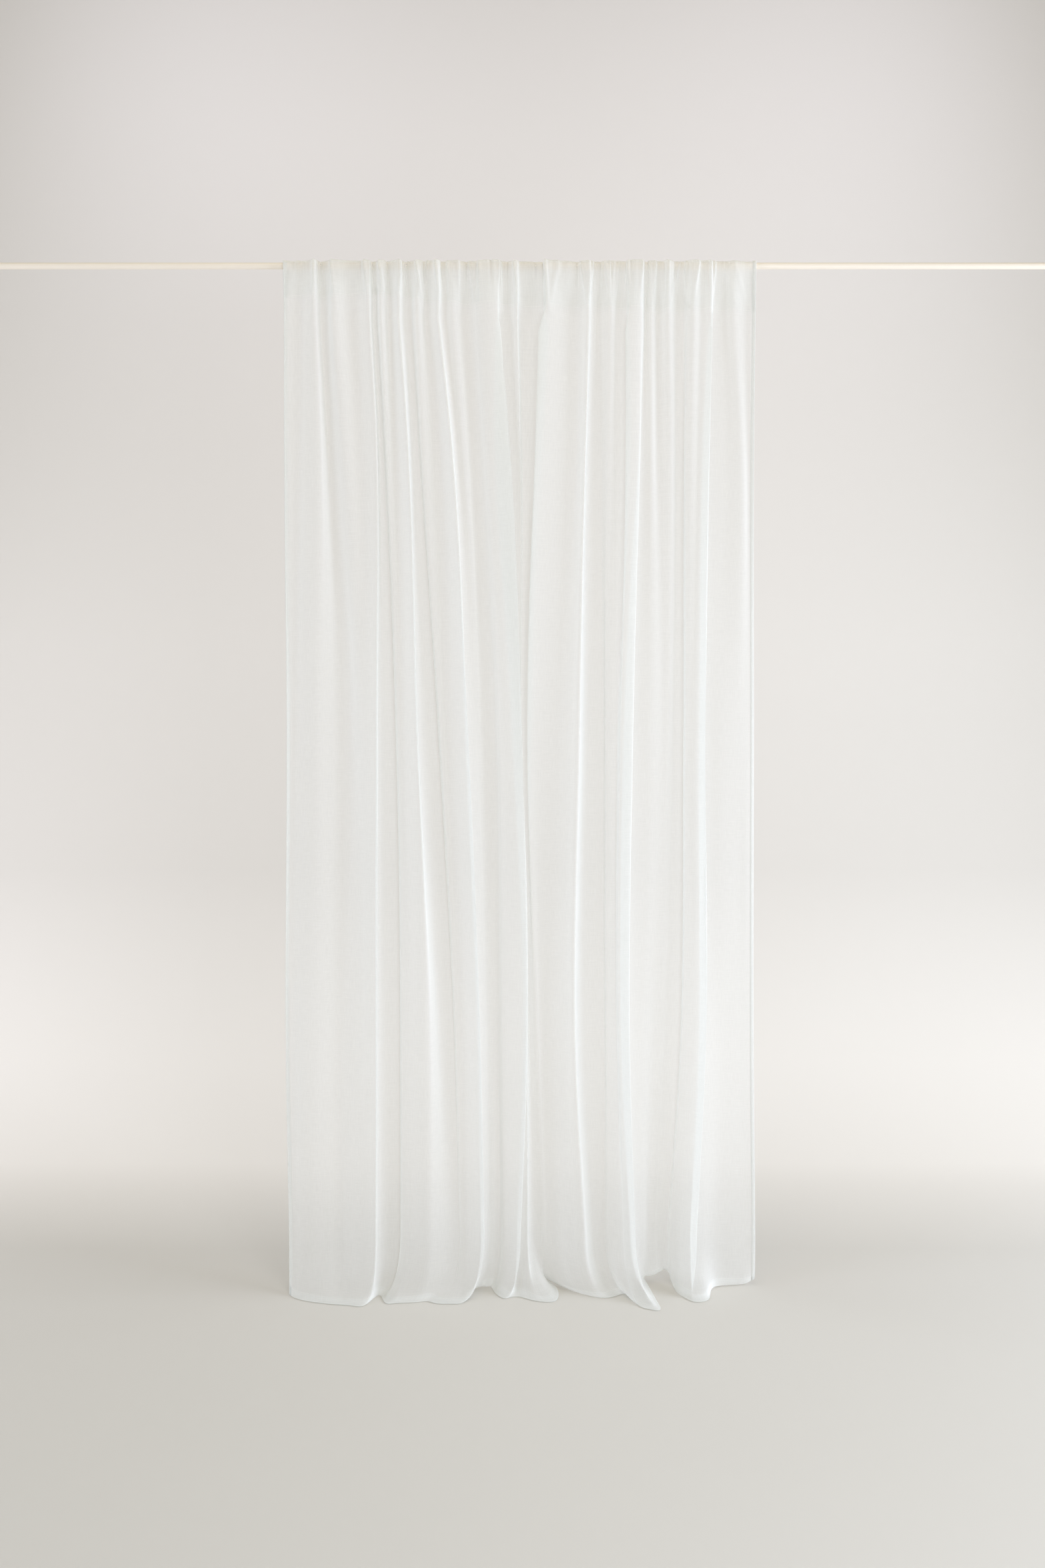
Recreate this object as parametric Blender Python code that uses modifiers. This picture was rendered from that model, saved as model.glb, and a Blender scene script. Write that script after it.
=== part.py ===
"""A sheer voile curtain gathered on a rod and just breaking on the floor.

Run it with:  blender --background --python part.py

Metres, +Z up. The floor is z = 0, +X runs to the viewer's right and the room side is -Y.
The cloth is one open grid, laid over a table of fold lines and given its thickness by Solidify.
It starts at the pocket's seam behind the rod, runs up and over the rod, and down to the hem.
"""

import math

import bmesh
import bpy
import numpy as np

# ---------------------------------------------------------------- driving dimensions, in metres
ROD_HEIGHT = 2.628  # the rod's axis above the floor
ROD_RADIUS = 0.008
ROD_LENGTH = 2.80
ROD_SETBACK = 0.0375  # the rod's plane behind the middle of the depth that the cloth takes
ROD_FACETS = 32
ROD_BEVEL = 0.0006

CLOTH_THICKNESS = 0.0015
ROD_CLEARANCE = 0.0017  # cloth's inner face to the rod, so that its flats clear the round
WRAP_RADIUS = ROD_RADIUS + ROD_CLEARANCE + CLOTH_THICKNESS / 2
PUFF_SHARE = 0.80  # how much of a fold's depth below the rod already shows on the rod
PUFF_TOP_SHARE = 0.2  # and how much of that puff stands above the rod

# The pocket's seam wavers: its distance from the middle, and how far it lies below the rod's top.
POCKET_EDGE = (
    (-0.612, 0.090),
    (-0.550, 0.083),
    (-0.495, 0.090),
    (-0.430, 0.080),
    (-0.320, 0.085),
    (-0.245, 0.100),
    (0.000, 0.109),
    (0.370, 0.121),
    (0.598, 0.123),
)
SEAM_OFFSET = 0.0024  # middle of the front layer to middle of the back one, at the seam

UNLAPPED_FROM = 2.47  # from here up to the next height the laps of the cloth open out
UNLAPPED_AT = 2.51
LEAST_STEP = 0.004  # across, between lines that lie one behind the other at the seam

KNEE_HEIGHT = 0.15  # below this the folds open out and turn on to the floor
KNEE_DROP = 0.105  # how far the cloth keeps falling before it turns
FLOOR_EASE = 0.42  # share of the run along the floor that stays flat
HEM_HEIGHT = CLOTH_THICKNESS  # the hem's middle plane, lying on the floor

COLUMNS_PER_LINE = 2
POCKET_SHARES = (1.0, 0.5)  # from the rod's back (0) to the seam (1)
WRAP_ANGLES = (180, 135, 90, 45, 0)  # degrees round the rod, from its back over its top to its front
BODY_HEIGHTS = (2.59, 2.545, 2.48, 2.36, 2.12, 1.78, 1.38, 0.90, 0.45)
KNEE_SHARES = (0.0, 0.30, 0.52, 0.70, 0.85, 1.0)  # from the knee to the hem

# Heights at which the fold lines below are given.
X_HEIGHTS = (2.489, 2.244, 1.422, 0.652, 0.12)
DEPTH_HEIGHTS = (2.50, 1.42, 0.14)

# One row for each fold line, from the left edge to the right one. Millimetres. "Rod" to "knee" are
# its distances from the middle at X_HEIGHTS. "Top", "body" and "foot" are its depths towards the
# room from the rod's plane at DEPTH_HEIGHTS. The last three place its end on the hem: its distance
# from the middle, how far out it lies from the rod's plane, and how far it is lifted clear of the
# floor. A fold is a crest towards the room, and a hollow lies between two of them. Where the
# distances run backwards, from a fold to an "under" line, the cloth laps under itself.
FOLD_LINES = (
    # name          rod  high   mid   low  knee  top body foot  across out lift
    ("edge_left",  -612, -612, -606, -607, -597,   6,   0,  10, -592,   36,    0),
    ("hollow_a",   -573, -577, -591, -593, -587,  -6,  -9,   8, -575,   55,    0),
    ("plate_a",    -554, -554, -557, -560, -558,   4,   4,  20, -549,   70,    0),
    ("fold_a",     -532, -521, -525, -528, -530,  15,  12,  26, -516,   81,    0),
    ("slope_a",    -524, -513, -501, -500, -498,   2,   4,  24, -485,   89,    0),
    ("hollow_b",   -519, -506, -471, -473, -470, -12, -14,  18, -461,   93,    0),
    ("edge_ab",    -504, -493, -444, -455, -452,  -6, -14,  22, -441,   96,    0),
    ("fold_ab",    -482, -462, -418, -416, -416,  18,   2,  36, -420,  100,    0),
    ("hollow_bb",  -437, -422, -395, -394, -392, -11,  14,  42, -405,  104,    0),
    ("fold_b",     -392, -376, -368, -367, -367,  14,  26,  50, -391,   96,    0),
    ("under_b",    -388, -375, -378, -376, -374,   2,   6,  34, -376,   59,    0),
    ("hollow_c",   -385, -372, -362, -359, -355, -12, -20,   6, -365,   40,    0),
    ("c_back",     -378, -364, -321, -311, -307,  -9, -20,   8, -359,   43,    0),
    ("c_front",    -369, -357, -328, -315, -314,   8,  -9,  14, -353,   59,    0),
    ("fold_c",     -360, -350, -315, -304, -299,  12,   0,  24, -339,   89,    0),
    ("hollow_d",   -344, -332, -305, -290, -278, -14,   2,  30, -316,   85,    0),
    ("fold_d",     -317, -298, -265, -240, -240,  16,  26,  44, -270,   81,    0),
    ("under_d",    -308, -294, -272, -228, -220,   2,   8,  38, -237,   74,    0),
    ("hollow_e",   -297, -286, -252, -209, -177, -12, -20,  16, -220,   85,    0),
    ("e_back",     -287, -273, -210, -172, -157,  -9, -20,  12, -203,   89,    0),
    ("e_front",    -279, -267, -218, -176, -160,   5, -10,  14, -189,   89,    0),
    ("fold_e",     -266, -256, -207, -168, -152,  13,  -4,  16, -174,   89,    0),
    ("hollow_f",   -248, -222, -193, -154, -143, -13, -12,  16, -161,   89,    0),
    ("fold_f",     -216, -189, -136, -105,  -93,  15,  26,  42, -150,   85,    0),
    ("under_f",    -210, -185, -148, -116, -105,   3,  10,  28, -138,   24,    0),
    ("f_right",    -197, -175, -125,  -98,  -89,  -4,  -3,   6, -123,    0,    0),
    ("fold_g",     -178, -157, -113,  -88,  -81,   9, -10,  -6, -106,   -7,    2),
    ("hollow_g",   -155, -138, -100,  -76,  -69, -13, -17, -16,  -93,   -4,    3),
    ("h_left",     -131, -115,  -72,  -62,  -58, -11, -14, -14,  -82,   -7,    2),
    ("plate_h",    -106,  -92,  -56,  -48,  -48,  12,   4,   8,  -71,   24,    0),
    ("fold_h",      -55,  -32,    3,   15,   -3,  14,  25,  34,  -47,   59,    0),
    ("under_h",     -72,  -77,  -27,    0,  -15,   4,   8,  20,  -29,   51,    0),
    ("i_left",      -36,  -26,  -12,    3,  -14,  -8,   2,  10,  -10,   47,    0),
    ("fold_i",      -14,   -7,   -2,   12,   15,  13,   0,  26,   27,   70,    0),
    ("under_i",      -9,   -5,   -5,   10,   12,   0,  -6,  12,   57,   78,    0),
    ("hollow_j",      5,    3,    0,   17,   24, -12, -14,  -8,   84,   74,    0),
    ("under_j",      72,   58,   22,   22,   34,  -4,  -6, -10,   89,    0,    3),
    ("fold_j",       37,   32,    9,   38,   55,  16,   8,  -5,   49,  -43,   14),
    ("plate_j",      75,   65,   41,   48,   65,  12,   0,  -8,  113,    0,    0),
    ("hollow_k",    131,  134,   89,   72,   89, -11,  -1,  -4,  139,   24,    0),
    ("plate_k",     151,  149,  123,  109,  119,  -2,  12,  16,  175,   47,    0),
    ("fold_k",      169,  163,  144,  134,  159,  14,  25,  36,  205,   55,    0),
    ("under_k",     176,  166,  150,  140,  167,   2,   6,  20,  226,   51,    0),
    ("hollow_l",    187,  177,  165,  160,  185,  -5, -18,  -6,  247,   36,    0),
    ("l_back",      196,  199,  210,  210,  211,  -9, -20, -10,  261,   32,    0),
    ("l_front",     214,  214,  213,  214,  216,   4,  -8,  -4,  270,   43,    0),
    ("fold_l",      227,  224,  226,  229,  232,  10,   0,   8,  279,   78,    0),
    ("hollow_m",    244,  242,  243,  242,  255,  -5,   1,  22,  290,  100,    0),
    ("m_under",     276,  280,  246,  242,  261,   2,  10,  30,  294,  107,    0),
    ("m_left",      261,  261,  251,  251,  272,  14,  25,  42,  305,  115,    0),
    ("fold_m",      302,  303,  285,  274,  288,  15,  30,  54,  340,  126,    0),
    ("under_m",     312,  301,  256,  250,  274,   0,  12,  32,  335,   63,    0),
    ("m_right",     316,  314,  284,  273,  286,  -5,   2,  14,  324,   -8,    5),
    ("fold_n",      329,  330,  332,  311,  307,   9,   3,   0,  315,  -35,   16),
    ("hollow_n",    350,  349,  360,  337,  320,  -9,  -4, -14,  339,  -33,   20),
    ("fold_o",      373,  379,  376,  357,  338,  14,  -5, -18,  358,  -45,   24),
    ("hollow_o",    395,  397,  394,  376,  348,  -7, -17, -22,  376,  -51,   30),
    ("p_back",      415,  419,  423,  410,  372,  -7, -16, -18,  382,  -41,   22),
    ("p_front",     422,  416,  413,  405,  376,   4,  -2,  -8,  386,  -29,    8),
    ("fold_p",      438,  434,  427,  423,  399,  17,   9,  12,  389,   -3,    0),
    ("hollow_q",    460,  455,  444,  441,  414,   5,  10,  26,  396,   32,    0),
    ("fold_q",      489,  482,  468,  469,  442,  16,  30,  44,  413,   59,    0),
    ("under_q",     476,  462,  450,  449,  424,   2,   4,  18,  430,   78,    0),
    ("q_right",     507,  504,  475,  477,  454,  -3,   4,  10,  467,   70,    0),
    ("plate_r",     521,  531,  513,  513,  497,  -4,   6,  -2,  488,   -3,    2),
    ("crease_r",    539,  557,  554,  555,  546,  10,   6,  -6,  541,  -19,    0),
    ("hollow_r",    576,  579,  578,  575,  573,  -3,   4,  -6,  577,  -25,    1),
    ("edge_right",  598,  595,  594,  594,  599,   5,   1,  -5,  602,  -41,    8),
)

CURTAIN_NAME = "sheer_voile_curtain"
VOILE_COLOUR = (0.93, 0.925, 0.90)
ROD_COLOUR = (0.88, 0.85, 0.79)

MM = 0.001


# ---------------------------------------------------------------- curves
def glide(at, places, values):
    """A smooth curve through values, given at places, read at one place. Values may be arrays."""
    order = np.argsort(places)
    places = np.asarray(places, float)[order]
    values = np.asarray(values, float)[order]
    at = min(max(at, places[0]), places[-1])
    slopes = np.gradient(values, places, axis=0)
    k = min(int(np.searchsorted(places, at, side="right")) - 1, len(places) - 2)
    span = places[k + 1] - places[k]
    t = (at - places[k]) / span
    return (
        (2 * t**3 - 3 * t**2 + 1) * values[k]
        + (t**3 - 2 * t**2 + t) * span * slopes[k]
        + (3 * t**2 - 2 * t**3) * values[k + 1]
        + (t**3 - t**2) * span * slopes[k + 1]
    )


def through(nodes, count):
    """Points on a centripetal Catmull-Rom curve through nodes, count of them for each span."""
    first = 2 * nodes[0] - nodes[1]
    last = 2 * nodes[-1] - nodes[-2]
    all_nodes = np.vstack([first, nodes, last])
    points = []
    for k in range(1, len(nodes)):
        p0, p1, p2, p3 = all_nodes[k - 1 : k + 3]
        t1 = np.linalg.norm(p1 - p0) ** 0.5
        t2 = t1 + np.linalg.norm(p2 - p1) ** 0.5
        t3 = t2 + np.linalg.norm(p3 - p2) ** 0.5
        for step in range(count):
            t = t1 + (t2 - t1) * step / count
            a1 = (t1 - t) / t1 * p0 + t / t1 * p1
            a2 = (t2 - t) / (t2 - t1) * p1 + (t - t1) / (t2 - t1) * p2
            a3 = (t3 - t) / (t3 - t2) * p2 + (t - t2) / (t3 - t2) * p3
            b1 = (t2 - t) / t2 * a1 + t / t2 * a2
            b2 = (t3 - t) / (t3 - t1) * a2 + (t - t1) / (t3 - t1) * a3
            points.append((t2 - t) / (t2 - t1) * b1 + (t - t1) / (t2 - t1) * b2)
    return np.array(points + [nodes[-1]])


# ---------------------------------------------------------------- the cloth's shape
LINE_X = np.array([row[1:6] for row in FOLD_LINES], float) * MM
LINE_DEPTH = np.array([row[6:9] for row in FOLD_LINES], float) * MM
LINE_HEM = np.array([row[9:12] for row in FOLD_LINES], float) * MM


def in_room(across, out, height):
    """Distances from the middle, the rod's plane and the floor, as points in the part's frame."""
    return np.stack([across, ROD_SETBACK - out, height], axis=-1)


def across_at(height):
    """Each fold line's distance from the middle. The pocket's seam keeps the cloth from lapping."""
    across = glide(height, X_HEIGHTS, LINE_X.T)
    from_left = np.maximum.accumulate(across)
    from_right = np.minimum.accumulate(across[::-1])[::-1]
    opened = min(max((height - UNLAPPED_FROM) / (UNLAPPED_AT - UNLAPPED_FROM), 0), 1)
    steps = LEAST_STEP * np.arange(len(across))
    spread = np.maximum.accumulate((from_left + from_right) / 2 - steps) + steps
    return across + (spread - across) * opened


def clear_of_rod(points):
    """Points that a curve has cut too near the rod are moved out again."""
    from_axis = points[:, 1:] - np.array([ROD_SETBACK, ROD_HEIGHT])
    distance = np.linalg.norm(from_axis, axis=1, keepdims=True)
    points[:, 1:] += from_axis * (np.maximum(distance, WRAP_RADIUS) / distance - 1)
    return points


def puff():
    """How far each fold line stands off the rod where it passes over it."""
    return PUFF_SHARE * np.maximum(LINE_DEPTH[:, 0], 0)


def depth_at(height):
    """Each fold line's depth towards the room. It eases on to the rod's front above the heading."""
    free = glide(height, DEPTH_HEIGHTS, LINE_DEPTH.T)
    top = DEPTH_HEIGHTS[0]
    if height <= top:
        return free
    share = min((height - top) / (ROD_HEIGHT - top), 1.0)
    return free + (WRAP_RADIUS + puff() - free) * share**1.5


def wrap_row(degrees):
    """The fold lines where they pass over the rod: 180 degrees is its back and 0 its front."""
    angle = math.radians(degrees)
    out = (WRAP_RADIUS + puff()) * math.cos(angle)
    rise = (WRAP_RADIUS + PUFF_TOP_SHARE * puff()) * math.sin(angle)
    return in_room(across_at(ROD_HEIGHT), out, ROD_HEIGHT + rise)


def body_row(height):
    """The fold lines at one height between the rod and the knee."""
    return in_room(across_at(height), depth_at(height), np.full(len(FOLD_LINES), height))


def knee_row(share):
    """The fold lines on their way from the knee (0) to the hem (1): down, and out on the floor."""
    knee = body_row(KNEE_HEIGHT)
    hem = in_room(LINE_HEM[:, 0], LINE_HEM[:, 1], HEM_HEIGHT + LINE_HEM[:, 2])
    below = knee - np.array([0, 0, KNEE_DROP])
    before = hem + FLOOR_EASE * (knee - hem) * np.array([1, 1, 0])
    left = 1 - share
    return (
        left**3 * knee
        + 3 * left**2 * share * below
        + 3 * left * share**2 * before
        + share**3 * hem
    )


def laid_across(line_points):
    """A row of the cloth's points, on a curve through one point for each fold line."""
    row = clear_of_rod(through(line_points, COLUMNS_PER_LINE))
    row[:, 2] = np.maximum(row[:, 2], HEM_HEIGHT)
    return row


def behind(row):
    """A row of points set back from another by SEAM_OFFSET, square to its folds."""
    along = np.gradient(row[:, :2], axis=0)
    square = np.stack([-along[:, 1], along[:, 0], np.zeros(len(row))], axis=1)
    return row + square / np.linalg.norm(square, axis=1, keepdims=True) * SEAM_OFFSET


def pocket_rows():
    """The cloth behind the rod, from the pocket's seam up to just below the rod's back."""
    back = laid_across(wrap_row(WRAP_ANGLES[0]))
    across, below_top = np.array(POCKET_EDGE).T
    depths = np.interp(back[:, 0], across, below_top)
    seam_heights = ROD_HEIGHT + ROD_RADIUS - depths
    seam = np.array([behind(laid_across(body_row(z)))[i] for i, z in enumerate(seam_heights)])
    return [back + (seam - back) * share for share in POCKET_SHARES]


def sheet_rows():
    """All of the cloth's rows of points, from the pocket's seam over the rod to the hem."""
    lines = [wrap_row(angle) for angle in WRAP_ANGLES]
    lines += [body_row(height) for height in BODY_HEIGHTS]
    lines += [knee_row(share) for share in KNEE_SHARES]
    return pocket_rows() + [laid_across(line) for line in lines]


# ---------------------------------------------------------------- Blender objects
def material(name, colour, roughness, metallic=0.0):
    made = bpy.data.materials.new(name)
    made.use_nodes = True
    shader = made.node_tree.nodes["Principled BSDF"]
    shader.inputs["Base Color"].default_value = (*colour, 1)
    shader.inputs["Roughness"].default_value = roughness
    shader.inputs["Metallic"].default_value = metallic
    return made


def cloth_from(rows, name, finish, collection):
    """A grid whose points are the rows, thickened by Solidify."""
    grid = bmesh.new()
    bmesh.ops.create_grid(
        grid, x_segments=len(rows[0]) - 1, y_segments=len(rows) - 1, size=0.5
    )
    # The grid's own points run from left to right and from its lowest row up.
    points = np.concatenate(rows[::-1])
    grid.verts.ensure_lookup_table()
    ordered = sorted(grid.verts, key=lambda v: (round(v.co.y, 6), v.co.x))
    for vertex, place in zip(ordered, points):
        vertex.co = place
    mesh = bpy.data.meshes.new(name)
    grid.to_mesh(mesh)
    grid.free()
    mesh.shade_smooth()
    mesh.materials.append(finish)
    cloth = bpy.data.objects.new(name, mesh)
    collection.objects.link(cloth)
    thicken = cloth.modifiers.new("thickness", "SOLIDIFY")
    thicken.thickness = CLOTH_THICKNESS
    thicken.offset = 0
    thicken.use_even_offset = False
    return cloth


def rod(finish, collection):
    bpy.ops.mesh.primitive_cylinder_add(
        vertices=ROD_FACETS, radius=ROD_RADIUS, depth=ROD_LENGTH, location=(0, ROD_SETBACK, ROD_HEIGHT)
    )
    bar = bpy.context.object
    bar.name = "rod"
    bar.rotation_euler = (0, math.pi / 2, 0)
    bar.data.materials.append(finish)
    bar.data.shade_smooth()
    bar.data.set_sharp_from_angle(angle=math.radians(40))
    for owner in bar.users_collection:
        owner.objects.unlink(bar)
    collection.objects.link(bar)
    ease = bar.modifiers.new("eased ends", "BEVEL")
    ease.width = ROD_BEVEL
    ease.segments = 1
    ease.limit_method = "ANGLE"
    ease.angle_limit = math.radians(40)
    return bar


def main():
    for old in list(bpy.data.objects):
        bpy.data.objects.remove(old)
    collection = bpy.data.collections.new(CURTAIN_NAME)
    bpy.context.scene.collection.children.link(collection)
    voile = material("voile", VOILE_COLOUR, 0.9)
    lacquer = material("cream lacquer", ROD_COLOUR, 0.4)
    cloth_from(sheet_rows(), "voile_panel", voile, collection)
    rod(lacquer, collection)


main()
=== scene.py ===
# %% [markdown]
# # A sheer voile curtain, gathered on a rod
#
# The real thing is one length of thin white voile. Its top is folded to the back over a round rod
# and sewn down, which makes the pocket that the rod runs through. The cloth is wider than the
# stretch of rod it covers, so it hangs in uneven folds, and it is a little longer than the drop, so
# its hem turns out on to the floor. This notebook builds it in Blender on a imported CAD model, whose
# rod stays and whose thick stand-in cloth is replaced by a thin sheet.

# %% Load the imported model
import math

import bpy
import numpy as np
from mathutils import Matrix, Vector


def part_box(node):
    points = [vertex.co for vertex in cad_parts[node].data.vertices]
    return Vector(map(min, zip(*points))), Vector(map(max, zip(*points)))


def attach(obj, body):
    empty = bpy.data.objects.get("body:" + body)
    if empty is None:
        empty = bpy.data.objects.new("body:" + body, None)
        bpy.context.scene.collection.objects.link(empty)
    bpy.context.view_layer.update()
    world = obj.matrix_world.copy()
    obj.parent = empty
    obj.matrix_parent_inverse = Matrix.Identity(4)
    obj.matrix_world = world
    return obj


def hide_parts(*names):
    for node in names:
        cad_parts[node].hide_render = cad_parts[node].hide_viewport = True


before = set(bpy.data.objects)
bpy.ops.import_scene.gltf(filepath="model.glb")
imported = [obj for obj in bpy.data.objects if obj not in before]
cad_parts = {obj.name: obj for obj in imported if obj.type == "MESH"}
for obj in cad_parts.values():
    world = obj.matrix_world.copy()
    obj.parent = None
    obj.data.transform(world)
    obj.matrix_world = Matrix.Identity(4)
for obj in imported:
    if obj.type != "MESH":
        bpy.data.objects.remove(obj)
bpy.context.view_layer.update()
print("nodes:", sorted(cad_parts))

# %% [markdown]
# The rod is already right in the CAD model, so everything is measured from it: its axis gives the
# height and the plane that the cloth hangs in. +X runs to the viewer's right, the room is at -Y and
# the floor is z = 0, all in metres.

# %% The rod's axis
MM = 0.001
rod_low, rod_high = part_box("rod")
ROD_Y = (rod_low[1] + rod_high[1]) / 2
ROD_Z = (rod_low[2] + rod_high[2]) / 2
ROD_RADIUS = (rod_high[2] - rod_low[2]) / 2
print(f"rod axis at y {ROD_Y:.4f}, z {ROD_Z:.4f}, radius {ROD_RADIUS * 1000:.1f} mm")

# %% [markdown]
# The camera looks level and square at the curtain. The picture is 1568 x 2352 pixels and shows
# 584 of them for each metre at the rod. How strongly the hem spreads down the picture on the floor
# tells how far away the camera stands: 3 m. The lens follows from those two numbers.

# %% Camera
PICTURE_HEIGHT = 2352  # pixels
PIXELS_PER_METRE = 584  # at the rod's plane
ROD_ROW = 399  # the rod's axis, in pixels from the top of the picture
CAMERA_DISTANCE = 3.0
SENSOR = (24, 36)  # millimetres, a full frame held upright

camera_data = bpy.data.cameras.new("camera")
camera_data.sensor_fit = "VERTICAL"
camera_data.sensor_width, camera_data.sensor_height = SENSOR
camera_data.lens = SENSOR[1] * PIXELS_PER_METRE * CAMERA_DISTANCE / PICTURE_HEIGHT
camera = bpy.data.objects.new("camera", camera_data)
rows_below_rod = PICTURE_HEIGHT / 2 - ROD_ROW
camera.location = (0, ROD_Y - CAMERA_DISTANCE, ROD_Z - rows_below_rod / PIXELS_PER_METRE)
camera.rotation_euler = (math.pi / 2, 0, 0)
bpy.context.scene.collection.objects.link(camera)
bpy.context.scene.camera = camera
print(f"camera height {camera.location.z:.3f} m, lens {camera_data.lens:.1f} mm")
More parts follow.
